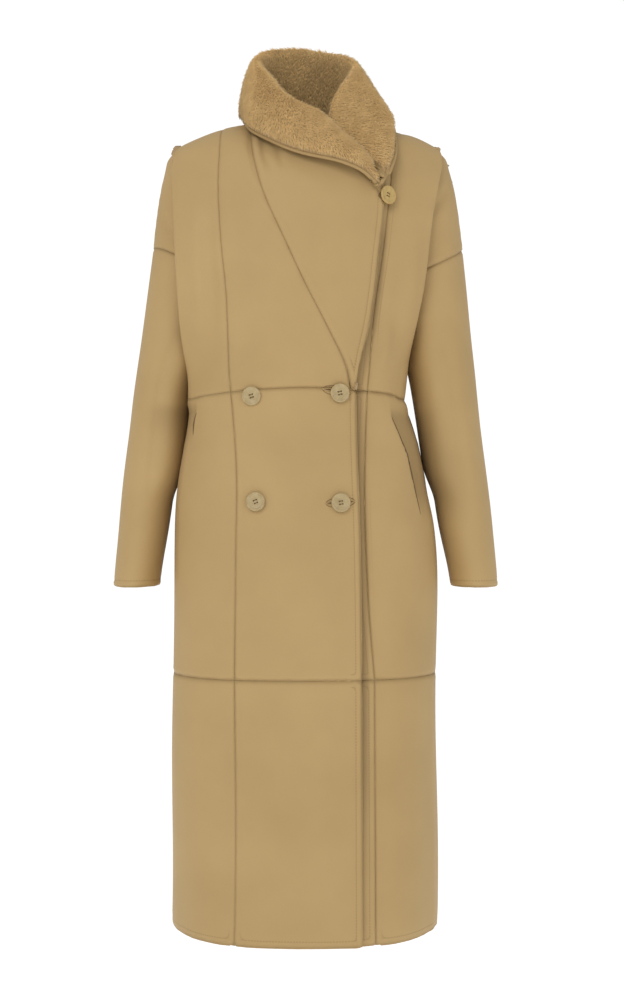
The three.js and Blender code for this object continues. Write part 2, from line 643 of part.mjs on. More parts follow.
// The collar, folded over all round: base is its seam on the neckline, roll the fold along its
// top, and fall the free edge that lies on the chest, shoulders and back. puff is how far the
// fall stands out between roll and edge.
const COLLAR_STATIONS = [
  { base: [103, -102, -98], roll: [108.5, -108, -105], fall: [104, -115, -112], puff: 2 },
  { base: [84, -94, -82], roll: [97, -98, -80], fall: [92, -116, -98], puff: 4 },
  { base: [62, -88, -66], roll: [79, -97, -54], fall: [70, -119, -86], puff: 8 },
  { base: [34, -82, -46], roll: [51, -92, -27], fall: [40, -117, -76], puff: 12 },
  { base: [0, -76, -30], roll: [24, -86, -3], fall: [10, -110, -69], puff: 14 },
  { base: [-34, -64, -14], roll: [-6, -76, 12], fall: [-20, -102, -59], puff: 15 },
  { base: [-58, -42, 0], roll: [-32, -62, 35], fall: [-52, -84, -42], puff: 16 },
  { base: [-71, -16, 6], roll: [-54, -36, 64], fall: [-80, -52, -20], puff: 16 },
  { base: [-77, 12, 11], roll: [-70, 0, 93], fall: [-94, -2, 9], puff: 10 },
  { base: [-68, 46, 14], roll: [-64, 36, 116], fall: [-94, 54, 14], puff: 10 },
  { base: [-38, 68, 17], roll: [-37, 62, 129], fall: [-58, 98, 18], puff: 10 },
  { base: [0, 76, 18], roll: [0, 70, 134], fall: [0, 112, 20], puff: 10 },
  { base: [38, 68, 17], roll: [38, 63, 128], fall: [60, 98, 18], puff: 10 },
  { base: [68, 46, 14], roll: [64, 38, 114], fall: [100, 54, 13], puff: 10 },
  { base: [77, 12, 11], roll: [74, 8, 94], fall: [120, 8, 6], puff: 8 },
  { base: [72, -16, 6], roll: [64, -16, 70], fall: [133, -30, -8], puff: 10 },
  { base: [56, -42, -2], roll: [50, -38, 38], fall: [134, -58, -34], puff: 12 },
  { base: [40, -58, -18], roll: [40, -58, 8], fall: [131, -78, -60], puff: 12 },
  { base: [46, -66, -44], roll: [50, -70, -28], fall: [124, -94, -82], puff: 9 },
  { base: [78, -76, -76], roll: [80, -80, -66], fall: [118, -104, -98], puff: 5 },
];

// One section of the collar from its base over the roll to the free edge, as share 0 to 1
function collarSection(base, roll, fall, puff) {
  const out = fall.clone().sub(base);
  out.z = 0;
  out.normalize();
  const tall = roll.distanceTo(fall);
  const bend = Math.min(9, tall * 0.3);
  const near = roll.clone().addScaledVector(out, -bend * 0.6).add(new THREE.Vector3(0, 0, -bend));
  const far = roll.clone().addScaledVector(out, bend * 1.1).add(new THREE.Vector3(0, 0, -bend * 0.9));
  const belly = roll.clone().lerp(fall, 0.5).addScaledVector(out, puff);
  const low = roll.clone().lerp(fall, 0.8).addScaledVector(out, puff * 0.7);
  const points = [base, base.clone().lerp(near, 0.5), near, roll, far, belly, low, fall];
  return new THREE.CatmullRomCurve3(points, false, "centripetal");
}

const COLLAR_DROP = { base: 1.4, roll: 0, fall: 0 };
function collarSheet() {
  const track = (key) => new THREE.CatmullRomCurve3(
    COLLAR_STATIONS.map((station) => new THREE.Vector3(...station[key]).setZ(station[key][2] - COLLAR_DROP[key])),
    false, "centripetal");
  const tracks = { base: track("base"), roll: track("roll"), fall: track("fall") };
  const last = COLLAR_STATIONS.length - 1;
  const puffAt = (u) => {
    const low = Math.min(last - 1, Math.floor(u * last));
    return lerp(COLLAR_STATIONS[low].puff, COLLAR_STATIONS[low + 1].puff, u * last - low);
  };
  const map = (u, v) => {
    const at = clamp(u, 0, 1);
    const points = ["base", "roll", "fall"].map((key) => tracks[key].getPoint(at));
    return collarSection(...points, puffAt(at)).getPoint(clamp(v, 0, 1));
  };
  return map;
}

function collar() {
  const map = collarSheet();
  const columns = steps(0, 1, 38);
  const rows = [0, 0.14, 0.26, 0.34, 0.41, 0.47, 0.54, 0.63, 0.72, 0.81, 0.91, 1];
  const sheet = new Sheet();
  const grid = columns.map((u) => rows.map((v) => {
    const normal = normalOf(map, u, v, 1, 0.004, 0.02, [0, 1]);
    const point = map(u, v).addScaledVector(normal, COLLAR_WALL / 2);
    return sheet.add(point, normal, COLLAR_WALL);
  }));
  sheet.fill(grid);
  return sheet.wall();
}

// A button: a disc with a raised rim and a dished middle, about the local Z axis
function buttonShape() {
  const profile = [
    [0, 0], [BUTTON_RADIUS * 0.86, 0], [BUTTON_RADIUS, BUTTON_THICKNESS * 0.35],
    [BUTTON_RADIUS * 0.96, BUTTON_THICKNESS * 0.9], [BUTTON_RADIUS * 0.86, BUTTON_THICKNESS],
    [BUTTON_RADIUS * 0.7, BUTTON_THICKNESS * 0.72], [0, BUTTON_THICKNESS * 0.62],
  ].map(([x, y]) => new THREE.Vector2(x, y));
  return new THREE.LatheGeometry(profile, 20).rotateX(Math.PI / 2);
}

const leather = new THREE.MeshStandardMaterial({ color: 0xb9986a, roughness: 0.62, metalness: 0 });
const fur = new THREE.MeshStandardMaterial({ color: 0xb1905f, roughness: 0.95, metalness: 0 });
const horn = new THREE.MeshStandardMaterial({ color: 0xc0a677, roughness: 0.4, metalness: 0 });

const coat = new THREE.Group();
function addPiece(name, geometry, material = leather) {
  const mesh = new THREE.Mesh(geometry, material);
  mesh.name = name;
  coat.add(mesh);
  return mesh;
}

// Overlapping front, on the wearer's right
const RIGHT = 0;
const LEFT = 1;
const FRONT = -1;
const BACK = 1;
const SHOULDER_SEAM_X = [120, 129];
const NECK_SEAM_X = 80;
const sideColumns = steps(0, 1, 4);
const shoulderTops = (fromX, toX, side) => (share) => {
  const x = lerp(fromX, toX, share);
  return { point: shoulderTop(side, x), arch: archAt(side, FRONT, x) };
};
const rightNeckTops = (share) => ({
  point: necklinePoint(NECKLINE_RIGHT, share),
  arch: archAt(RIGHT, FRONT, lerp(NECK_SEAM_X, 50, clamp(share * 5, 0, 1))),
});
const EDGE_YOKE_Z = -150;
const edgeOptions = { range: [-0.2, 1.2] };

const chestMap = frontMap(PRINCESS_RIGHT, CHEST_DIAGONAL, shoulderTops(SHOULDER_SEAM_X[RIGHT], NECK_SEAM_X, RIGHT),
  [YOKE_Z, YOKE_Z]);
const lapelMap = frontMap(CHEST_DIAGONAL, TOP_EDGE, rightNeckTops, [YOKE_Z, EDGE_YOKE_Z]);
const rightFrontMap = frontMap(PRINCESS_RIGHT, TOP_EDGE, rightNeckTops, [YOKE_Z, YOKE_Z]);
const rightSideMap = sideMap(RIGHT, FRONT, PRINCESS_RIGHT, SHOULDER_SEAM_X[RIGHT]);
const rightPrincess = seamNormals((u, v) => rightSideMap(-u, v), 0, chestMap, 0, -1);
const diagonalSeam = seamNormals(chestMap, 1, lapelMap, 0, -1);
const waistX = (line) => lineX(line, WAIST_CENTRE_Z - WAIST_DROP / 2);
const diagonalShare = (waistX(CHEST_DIAGONAL) - waistX(PRINCESS_RIGHT)) / (waistX(TOP_EDGE) - waistX(PRINCESS_RIGHT));
const rightColumns = joined(steps(0, diagonalShare, 6), [1]);

addPiece("front_right_side_upper",
  upperSide(RIGHT, FRONT, PRINCESS_RIGHT, SHOULDER_SEAM_X[RIGHT], sideColumns, () => 0, rightPrincess));
addPiece("front_right_centre_upper", plainPiece(chestMap, steps(0, 1, 6), UPPER_ROWS, -1,
  { ...edgeOptions, levelTop: true, startSeam: rightPrincess, endSeam: diagonalSeam }));
addPiece("front_right_lapel", plainPiece(lapelMap, steps(0, 1, 7), UPPER_ROWS, -1,
  { ...edgeOptions, startSeam: diagonalSeam }));
addPiece("front_right_side_middle", lowerSide(RIGHT, FRONT, PRINCESS_RIGHT, MIDDLE_ROWS, sideColumns));
addPiece("front_right_centre_middle", plainPiece(rightFrontMap, rightColumns, MIDDLE_ROWS, -1, edgeOptions));
addPiece("front_right_side_lower", lowerSide(RIGHT, FRONT, PRINCESS_RIGHT, LOWER_ROWS, sideColumns));
addPiece("front_right_centre_lower", plainPiece(rightFrontMap, rightColumns, LOWER_ROWS, -1, edgeOptions));

// Front beneath, on the wearer's left
const leftOptions = { ...edgeOptions, shift: underShift };
const NECK_SHARE = 0.72;
const leftTops = (share) => {
  if (share < NECK_SHARE) {
    const t = 1 - share / NECK_SHARE;
    const arch = archAt(LEFT, FRONT, lerp(NECK_SEAM_X, 50, clamp(t * 5, 0, 1)));
    return { point: necklinePoint(NECKLINE_LEFT, t), arch };
  }
  const x = lerp(NECK_SEAM_X, SHOULDER_SEAM_X[LEFT], (share - NECK_SHARE) / (1 - NECK_SHARE));
  return { point: shoulderTop(LEFT, x), arch: archAt(LEFT, FRONT, x) };
};
const underMap = frontMap(UNDER_EDGE, PRINCESS_LEFT, leftTops, [EDGE_YOKE_Z, YOKE_Z]);
const leftSideMap = sideMap(LEFT, FRONT, PRINCESS_LEFT, SHOULDER_SEAM_X[LEFT]);
const leftPrincess = seamNormals(underMap, 1, leftSideMap, 0, -1);
const leftColumns = joined(steps(0, NECK_SHARE, 6), steps(NECK_SHARE, 1, 2));
addPiece("front_left_side_upper",
  upperSide(LEFT, FRONT, PRINCESS_LEFT, SHOULDER_SEAM_X[LEFT], sideColumns, underShift, leftPrincess));
addPiece("front_left_centre_upper",
  plainPiece(underMap, leftColumns, UPPER_ROWS, -1, { ...leftOptions, endSeam: leftPrincess }));
addPiece("front_left_side_middle", lowerSide(LEFT, FRONT, PRINCESS_LEFT, MIDDLE_ROWS, sideColumns, underShift));
addPiece("front_left_centre_middle", plainPiece(underMap, leftColumns, MIDDLE_ROWS, -1, leftOptions));
addPiece("front_left_side_lower", lowerSide(LEFT, FRONT, PRINCESS_LEFT, LOWER_ROWS, sideColumns, underShift));
addPiece("front_left_centre_lower", plainPiece(underMap, leftColumns, LOWER_ROWS, -1, leftOptions));

// Back, in three pieces one above the other, each cut whole across the middle
const backColumns = [0, 0.145, 0.29, NECK_SEAM_X / 186, 0.6, 0.8, 1];
const wholeBack = (half) => half(LEFT).append(half(RIGHT)).wall();
addPiece("back_upper", wholeBack((side) => upperSideSheet(side, BACK, null, 0, backColumns)));
addPiece("back_middle", wholeBack((side) => lowerSideSheet(side, BACK, null, MIDDLE_ROWS, backColumns)));
addPiece("back_lower", wholeBack((side) => lowerSideSheet(side, BACK, null, LOWER_ROWS, backColumns)));

addPiece("sleeve_right", sleeve(RIGHT));
addPiece("sleeve_left", sleeve(LEFT));
addPiece("collar", collar(), fur);

// Buttons stand off the cloth on their threads and face along its normal; the top one is turned
// towards the wearer's left.
function seatedButton(x, z, stand) {
  const around = (dx, dz) => flatPoint(x + dx, FRONT, z + dz);
  const normal = around(1, 0).sub(around(-1, 0)).cross(around(0, 1).sub(around(0, -1))).normalize();
  const place = around(0, 0).addScaledVector(normal, stand);
  return { place, normal };
}
function addButton(name, seat) {
  const turn = new THREE.Quaternion().setFromUnitVectors(new THREE.Vector3(0, 0, 1), seat.normal);
  const shape = buttonShape().applyQuaternion(turn).translate(...seat.place.toArray());
  addPiece(name, shape, horn);
}
addButton("button_top", {
  place: new THREE.Vector3(117.5, -95.6, -122),
  normal: new THREE.Vector3(0.62, -0.78, 0.08).normalize(),
});
addButton("button_waist_right", seatedButton(-74.8, -408.6, 0.9));
addButton("button_waist_left", seatedButton(49.7, -404.4, 1.2));
addButton("button_lower_right", seatedButton(-68.5, -557.4, 0.4));
addButton("button_lower_left", seatedButton(50.9, -558.9, 0.2));

export default coat;
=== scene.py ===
"""A long double-breasted shearling coat, worn form with no wearer, drawn round its solid model."""

import heapq
import math
import random

import bmesh
import bpy
import numpy as np
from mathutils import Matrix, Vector
from mathutils.bvhtree import BVHTree
from mathutils.kdtree import KDTree


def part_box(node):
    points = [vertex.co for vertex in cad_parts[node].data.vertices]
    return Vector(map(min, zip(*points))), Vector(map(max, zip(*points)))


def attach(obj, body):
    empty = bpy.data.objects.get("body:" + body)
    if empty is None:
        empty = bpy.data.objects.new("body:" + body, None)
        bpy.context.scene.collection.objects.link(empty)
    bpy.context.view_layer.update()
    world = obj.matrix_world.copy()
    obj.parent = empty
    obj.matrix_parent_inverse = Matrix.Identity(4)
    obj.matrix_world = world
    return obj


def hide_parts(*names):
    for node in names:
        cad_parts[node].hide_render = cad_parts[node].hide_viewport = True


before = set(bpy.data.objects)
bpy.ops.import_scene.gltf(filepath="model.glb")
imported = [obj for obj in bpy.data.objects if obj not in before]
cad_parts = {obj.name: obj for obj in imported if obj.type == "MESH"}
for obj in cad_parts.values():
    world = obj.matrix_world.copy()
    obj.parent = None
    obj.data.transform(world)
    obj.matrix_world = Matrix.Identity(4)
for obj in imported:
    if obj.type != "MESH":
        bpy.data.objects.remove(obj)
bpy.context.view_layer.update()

# Right front: smooth tanned lambskin, leather side out, in seven cut pieces. The slanted
# seam runs from the neck to the waist, and the front edge overlaps the other front. Seams are
# pressed flat, so each is a soft groove, and a row of stitches follows the front edge.
FRONT, BACK = Vector((0, -1, 0)), Vector((0, 1, 0))
CORNER_ANGLE = math.radians(140)
FLAP_ANGLE = math.radians(50)
FREE_TURN = 0.5
TURN_COST = 0.15
RIM_STEP = 0.0005
FAR_FROM_RIM = 0.04
SEAM_DEPTH = 0.0011
SEAM_REACH = 0.007
STITCH_INSET = 0.0083
STITCH_WIDTH = 0.0012
STITCH_DEPTH = 0.0009
BEAD_INSET = 0.0045
BEAD_WIDTH = 0.0025
HIDE_THICKNESS = 0.003
TAPE_STEP = 4
TAPE_SINK = 0.0021
TAPE_RADIUS = 0.0017


def side_faces(sheet, facing, wall):
    """Sorts the faces of a wall to its outer and inner side, each by the nearer of two seeds."""
    tree = BVHTree.FromBMesh(sheet)
    sheet.faces.ensure_lookup_table()

    def through(face, reach):
        return tree.ray_cast(face.calc_center_median() - face.normal * 1e-5, -face.normal, reach)[2]

    outer = max(
        (face for face in sheet.faces if face.normal.dot(facing) > 0.6),
        key=lambda face: face.calc_center_median().dot(facing),
    )
    inner = sheet.faces[through(outer, wall * 3)]
    rim = {face for face in sheet.faces if through(face, wall * 1.5) is None}
    nearest, side = {outer: 0.0, inner: 0.0}, {outer: 1, inner: -1}
    queue, done = [(0.0, 0, outer), (0.0, 1, inner)], set()
    while queue:
        far, _, face = heapq.heappop(queue)
        if face in done:
            continue
        done.add(face)
        for edge in face.edges:
            for other in edge.link_faces:
                step = (other.calc_center_median() - face.calc_center_median()).length
                reach = far + step + TURN_COST * max(0.0, edge.calc_face_angle() - FREE_TURN)
                if other not in rim and reach < nearest.get(other, 1e9):
                    nearest[other], side[other] = reach, side[face]
                    heapq.heappush(queue, (reach, len(side) + other.index * 4, other))
    return side


def outer_sheet(node, facing, wall=0.005, passes=3):
    """The outer side of a CAD wall as a mesh of quads. A point belongs to the side that most of
    the faces round it are on, and changes side where that leaves less rim between the two."""
    sheet = bmesh.new()
    sheet.from_mesh(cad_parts[node].data)
    bmesh.ops.remove_doubles(sheet, verts=sheet.verts, dist=1e-5)
    votes = dict.fromkeys(sheet.verts, 0.0)
    for face, sign in side_faces(sheet, facing, wall).items():
        for corner in face.loops:
            votes[corner.vert] += sign * corner.calc_angle()
    is_outer = {vert: vote > 0 for vert, vote in votes.items()}
    for _ in range(passes):
        for vert in sheet.verts:
            mixed = {True: 0.0, False: 0.0}
            for face in vert.link_faces:
                others = {is_outer[other] for other in face.verts if other is not vert}
                for choice in (True, False):
                    if others != {choice}:
                        mixed[choice] += face.calc_area()
            if mixed[not is_outer[vert]] < mixed[is_outer[vert]]:
                is_outer[vert] = not is_outer[vert]
    rest = [face for face in sheet.faces if not all(is_outer[vert] for vert in face.verts)]
    bmesh.ops.delete(sheet, geom=rest, context="FACES")
    for _ in range(3):
        flaps = []
        for face in sheet.faces:
            held = [edge for edge in face.edges if not edge.is_boundary]
            if len(held) < 3 and all(edge.calc_face_angle() > FLAP_ANGLE for edge in held):
                flaps.append(face)
        bmesh.ops.delete(sheet, geom=flaps, context="FACES")
    bmesh.ops.join_triangles(
        sheet,
        faces=sheet.faces,
        angle_face_threshold=math.radians(40),
        angle_shape_threshold=math.radians(60),
    )
    return sheet


def keep_corners(sheet):
    """Marks the corners of a cut edge, so that smoothing leaves them square."""
    crease = sheet.verts.layers.float.new("crease_vert")
    for vert in sheet.verts:
        ends = [edge.other_vert(vert).co - vert.co for edge in vert.link_edges if edge.is_boundary]
        if len(ends) == 2 and ends[0].angle(ends[1]) < CORNER_ANGLE:
            vert[crease] = 1.0


def as_piece(name, mesh_source, level):
    """A new object from a bmesh, smoothed by subdivision that is applied to its mesh."""
    keep_corners(mesh_source)
    mesh = bpy.data.meshes.new(name)
    mesh_source.to_mesh(mesh)
    mesh_source.free()
    piece = bpy.data.objects.new(name, mesh)
    bpy.context.scene.collection.objects.link(piece)
    smooth = piece.modifiers.new("Smooth", "SUBSURF")
    smooth.levels = smooth.render_levels = level
    shown = piece.evaluated_get(bpy.context.evaluated_depsgraph_get())
    piece.data = bpy.data.meshes.new_from_object(shown)
    piece.modifiers.clear()
    bpy.data.meshes.remove(mesh)
    piece.data.name = name
    measure_rim(piece.data)
    return piece


def cut_edges(mesh, sink=0.0):
    """The cut edges of a sheet as lists of points in order, set below its surface by sink. Each
    list starts at the last edge in the mesh that is left, so it is the same in every run."""
    outline = bmesh.new()
    outline.from_mesh(mesh)
    left, loops = dict.fromkeys(edge for edge in outline.edges if edge.is_boundary), []
    while left:
        edge = left.popitem()[0]
        vert = edge.verts[0]
        loops.append([vert.co - vert.normal * sink])
        while edge:
            vert = edge.other_vert(vert)
            loops[-1].append(vert.co - vert.normal * sink)
            edge = next((other for other in vert.link_edges if other in left), None)
            left.pop(edge, None)
    outline.free()
    return loops


def measure_rim(mesh):
    """Keeps, for each point, its distance from the cut edge and how far along the edge it is."""
    samples, travelled = [], 0.0
    for loop in cut_edges(mesh):
        for start, end in zip(loop, loop[1:]):
            length = (end - start).length
            count = max(2, int(length / RIM_STEP))
            steps = (step / count for step in range(count))
            samples.extend((start.lerp(end, step), travelled + step * length) for step in steps)
            travelled += length
    tree = KDTree(len(samples))
    for index, (point, _) in enumerate(samples):
        tree.insert(point, index)
    tree.balance()
    found = [tree.find(vert.co)[1:] for vert in mesh.vertices]
    rim = mesh.attributes.new("rim", "FLOAT", "POINT")
    along = mesh.attributes.new("along", "FLOAT", "POINT")
    rim.data.foreach_set("value", [min(away, FAR_FROM_RIM) for _, away in found])
    along.data.foreach_set("value", [samples[index][1] for index, _ in found])


def points_of(mesh):
    """The places and the normals of a mesh's points, a row for each point."""
    place, normal = np.zeros(len(mesh.vertices) * 3), np.zeros(len(mesh.vertices) * 3)
    mesh.vertices.foreach_get("co", place)
    mesh.vertices.foreach_get("normal", normal)
    return place.reshape(-1, 3), normal.reshape(-1, 3)


def ramp(value, low, high):
    """0 up to low, 1 from high on, and a smooth rise between them."""
    share = np.clip((value - low) / (high - low), 0, 1)
    return share * share * (3 - 2 * share)


def fold(line, width, height, side=FRONT):
    """A soft ridge of cloth along a line of (x, z) points, or a trough where height is below 0."""

    def offset(place, normal, rim):
        best = np.full(len(place), 1e9)
        along = np.zeros(len(place))
        lengths = [math.dist(a, b) for a, b in zip(line, line[1:])]
        start = 0.0
        for (ax, az), (bx, bz), length in zip(line, line[1:], lengths):
            dx, dz = (bx - ax) / length, (bz - az) / length
            px, pz = place[:, 0] - ax, place[:, 2] - az
            share = np.clip((px * dx + pz * dz) / length, 0, 1)
            away = np.hypot(px - share * length * dx, pz - share * length * dz)
            nearer = away < best
            best = np.where(nearer, away, best)
            along = np.where(nearer, (start + share * length) / sum(lengths), along)
            start += length
        faded = np.sin(np.pi * np.clip(along, 0.02, 0.98)) ** 0.7
        faces = ramp(normal @ np.array(side), 0.05, 0.45)
        return height * np.exp(-((best / width) ** 2)) * faded * faces

    return offset


WAVE_COUNT = 14
SWAY_DEPTH = 0.009
waves = random.Random(7)


def drawn_wave():
    """The run of a slow wave, in radians a metre along each axis, and where it starts."""
    run = Vector((waves.gauss(0, 1), waves.gauss(0, 1), waves.gauss(0, 0.5))).normalized()
    return run * waves.uniform(14, 42), waves.uniform(0, 6.28)


SWAY = [drawn_wave() for _ in range(WAVE_COUNT)]


def sway(place, normal, rim):
    """The slow unevenness of hide that hangs by its own weight."""
    total = sum(np.sin(place @ np.array(wave) + phase) / wave.length for wave, phase in SWAY)
    return SWAY_DEPTH * total


PUCKER_RUN = np.array((310.0, 90.0, 260.0))
PUCKER_DRIFT = np.array((60.0, 20.0, 47.0))
PUCKER_DEPTH = 0.00035
PUCKER_REACH = 0.009


def pucker(place, normal, rim):
    """Small gathers where the stitching draws a seam together."""
    turn = place @ PUCKER_RUN + 2.4 * np.sin(place @ PUCKER_DRIFT)
    return PUCKER_DEPTH * np.sin(turn) * np.exp(-rim / PUCKER_REACH)


def pressed_seam(place, normal, rim):
    return -SEAM_DEPTH * (1 - ramp(rim, 0, SEAM_REACH))


def stitched_edge(where):
    """A stitched row inside a finished edge, only where the given mask is 1."""

    def offset(place, normal, rim):
        row = np.exp(-(((rim - STITCH_INSET) / STITCH_WIDTH) ** 2))
        bead = 0.6 * np.exp(-(((rim - BEAD_INSET) / BEAD_WIDTH) ** 2))
        raised = SEAM_DEPTH * (1 - ramp(rim, 0, SEAM_REACH)) * 0.55
        return where(place) * (STITCH_DEPTH * (bead - row) + raised)

    return offset


def shape_cloth(piece, forms):
    """Moves the points of a piece along their normals by the sum of the given forms."""
    mesh = piece.data
    place, normal = points_of(mesh)
    rim = np.zeros(len(place))
    mesh.attributes["rim"].data.foreach_get("value", rim)
    offset = sum(form(place, normal, rim) for form in forms)
    finished = np.clip(at_front_edge(place) + at_hem(place) + at_cuff(place), 0, 1)
    mesh.attributes.new("finished", "FLOAT", "POINT").data.foreach_set("value", finished)
    # Painted shade, kept for the leather's colour: the strip beside the front edge and behind each
    # pocket.
    painted_shade = np.clip(beside_front_edge(place) + behind_pocket(place), 0, 1) * (normal[:, 1] < 0)
    mesh.attributes.new("painted_shade", "FLOAT", "POINT").data.foreach_set("value", painted_shade)
    mesh.vertices.foreach_set("co", (place + normal * offset[:, None]).ravel())
    mesh.update()


def tone_group():
    """Slow mottling and fine speckle, shared by leather and fur, as a mix of two colours."""
    group = bpy.data.node_groups.new("hide tone", "ShaderNodeTree")
    for name, kind in (("Light", "NodeSocketColor"), ("Deep", "NodeSocketColor"),
                       ("Patch size", "NodeSocketFloat"), ("Speckle size", "NodeSocketFloat")):
        group.interface.new_socket(name, in_out="INPUT", socket_type=kind)
    group.interface.new_socket("Color", in_out="OUTPUT", socket_type="NodeSocketColor")
    group.interface.new_socket("Grain", in_out="OUTPUT", socket_type="NodeSocketFloat")
    nodes, link = group.nodes, group.links.new
    given, made = nodes.new("NodeGroupInput"), nodes.new("NodeGroupOutput")
    place = nodes.new("ShaderNodeTexCoord")
    patch, speckle = nodes.new("ShaderNodeTexNoise"), nodes.new("ShaderNodeTexNoise")
    patch.inputs["Detail"].default_value = 3
    speckle.inputs["Detail"].default_value = 4
    link(place.outputs["Object"], patch.inputs["Vector"])
    link(place.outputs["Object"], speckle.inputs["Vector"])
    link(given.outputs["Patch size"], patch.inputs["Scale"])
    link(given.outputs["Speckle size"], speckle.inputs["Scale"])
    both = nodes.new("ShaderNodeMath")
    both.operation = "MULTIPLY_ADD"
    both.inputs[1].default_value = 0.35
    link(speckle.outputs["Fac"], both.inputs[0])
    link(patch.outputs["Fac"], both.inputs[2])
    spread = nodes.new("ShaderNodeMapRange")
    spread.inputs["From Min"].default_value = 0.45
    spread.inputs["From Max"].default_value = 0.95
    link(both.outputs["Value"], spread.inputs["Value"])
    mix = nodes.new("ShaderNodeMix")
    mix.data_type = "RGBA"
    link(spread.outputs["Result"], mix.inputs["Factor"])
    link(given.outputs["Light"], mix.inputs["A"])
    link(given.outputs["Deep"], mix.inputs["B"])
    link(mix.outputs["Result"], made.inputs["Color"])
    link(speckle.outputs["Fac"], made.inputs["Grain"])
    return group


hide_tone = tone_group()


STITCH_HALF_WIDTH = 0.0011
STITCH_SHARE = 0.7


def edge_group():
    """What shows near a cut edge: a pressed line, stitches where it is finished, and painted shade.
    """
    group = bpy.data.node_groups.new("sewn edge and shade", "ShaderNodeTree")
    for name in ("Line width", "Row inset", "Stitch length"):
        group.interface.new_socket(name, in_out="INPUT", socket_type="NodeSocketFloat")
    for name in ("Line", "Stitches", "Painted_shade"):
        group.interface.new_socket(name, in_out="OUTPUT", socket_type="NodeSocketFloat")
    nodes, link = group.nodes, group.links.new
    given, made = nodes.new("NodeGroupInput"), nodes.new("NodeGroupOutput")

    def kept(name):
        node = nodes.new("ShaderNodeAttribute")
        node.attribute_name = name
        return node.outputs["Fac"]

    def worked_out(kind, first, second, clamp=False):
        node = nodes.new("ShaderNodeMath")
        node.operation, node.use_clamp = kind, clamp
        for socket, value in zip(node.inputs, (first, second)):
            if isinstance(value, float):
                socket.default_value = value
            else:
                link(value, socket)
        return node.outputs["Value"]

    rim = kept("rim")
    line_share = worked_out("DIVIDE", rim, given.outputs["Line width"])
    line = worked_out("SUBTRACT", 1.0, line_share, clamp=True)
    from_row = worked_out("SUBTRACT", rim, given.outputs["Row inset"])
    row_share = worked_out("DIVIDE", worked_out("ABSOLUTE", from_row, 0.0), STITCH_HALF_WIDTH)
    row = worked_out("SUBTRACT", 1.0, row_share, clamp=True)
    stitch = worked_out("DIVIDE", kept("along"), given.outputs["Stitch length"])
    dash = worked_out("LESS_THAN", worked_out("FRACT", stitch, 0.0), STITCH_SHARE)
    shown = worked_out("MULTIPLY", worked_out("MULTIPLY", row, dash), kept("finished"))
    link(line, made.inputs["Line"])
    link(shown, made.inputs["Stitches"])
    link(kept("painted_shade"), made.inputs["Painted_shade"])
    return group


sewn_edge_and_shade = edge_group()


def toned_material(name, light, deep, patch_size, speckle_size, grain_depth, roughness, sheen):
    """A material coloured by the shared tone group, with a fine grain in its surface."""
    material = bpy.data.materials.new(name)
    material.use_nodes = True
    nodes, link = material.node_tree.nodes, material.node_tree.links.new
    shader = nodes["Principled BSDF"]
    tone = nodes.new("ShaderNodeGroup")
    tone.node_tree = hide_tone
    tone.inputs["Light"].default_value = light
    tone.inputs["Deep"].default_value = deep
    tone.inputs["Patch size"].default_value = patch_size
    tone.inputs["Speckle size"].default_value = speckle_size
    grain = nodes.new("ShaderNodeBump")
    grain.inputs["Strength"].default_value = 0.5
    grain.inputs["Distance"].default_value = grain_depth
    link(tone.outputs["Grain"], grain.inputs["Height"])
    link(grain.outputs["Normal"], shader.inputs["Normal"])
    link(tone.outputs["Color"], shader.inputs["Base Color"])
    shader.inputs["Roughness"].default_value = roughness
    shader.inputs["Sheen Weight"].default_value = sheen
    shader.inputs["Sheen Roughness"].default_value = 0.6
    shader.inputs["Sheen Tint"].default_value = (1.0, 0.86, 0.66, 1)
    shader.inputs["Specular IOR Level"].default_value = 0.3
    return material


leather = toned_material("tan lambskin", (0.470, 0.318, 0.136, 1), (0.420, 0.280, 0.116, 1),
                         9, 1400, 0.0002, 0.62, 0.06)
nodes, link = leather.node_tree.nodes, leather.node_tree.links.new
edges = nodes.new("ShaderNodeGroup")
edges.node_tree = sewn_edge_and_shade
edges.inputs["Line width"].default_value = 0.0032
edges.inputs["Row inset"].default_value = STITCH_INSET
edges.inputs["Stitch length"].default_value = 0.0042
# Darker marks in the hide's colour, all toward one dark brown: thread-coloured stitches, a darker
# line along each seam, and painted shade beside the front edge and behind each pocket.
STITCH_AND_SHADE_COLOR = (0.16, 0.095, 0.035, 1)
hide_color = nodes["Principled BSDF"].inputs["Base Color"]
for mark, strength in (("Line", 0.2), ("Stitches", 0.45), ("Painted_shade", 1.0)):
    shade = nodes.new("ShaderNodeMix")
    shade.data_type = "RGBA"
    amount = nodes.new("ShaderNodeMath")
    amount.operation = "MULTIPLY"
    amount.inputs[1].default_value = strength
    link(edges.outputs[mark], amount.inputs[0])
    link(amount.outputs["Value"], shade.inputs["Factor"])
    link(hide_color.links[0].from_socket, shade.inputs["A"])
    shade.inputs["B"].default_value = STITCH_AND_SHADE_COLOR
    link(shade.outputs["Result"], hide_color)
fleece = toned_material("sheared fleece", (0.47, 0.32, 0.15, 1), (0.33, 0.21, 0.09, 1),
                        60, 900, 0.0012, 0.95, 0.4)


# Height and place of the overlapping front edge, from the hem up to the collar
FRONT_EDGE = [
    (-1.17, 0.0795), (-0.808, 0.080), (-0.597, 0.0777), (-0.527, 0.0751),
    (-0.457, 0.0731), (-0.393, 0.0725), (-0.358, 0.0802), (-0.316, 0.0907),
    (-0.26, 0.099), (-0.204, 0.1047), (-0.146, 0.1114), (-0.11, 0.115),
]
FINISHED_BAND = (0.013, 0.018)
EDGE_SHADE = 0.42


def front_edge_x(z):
    heights, places = zip(*FRONT_EDGE)
    return np.interp(z, heights, places)


def at_front_edge(place):
    near = 1 - ramp(np.abs(place[:, 0] - front_edge_x(place[:, 2])), *FINISHED_BAND)
    return near * (place[:, 1] < 0)


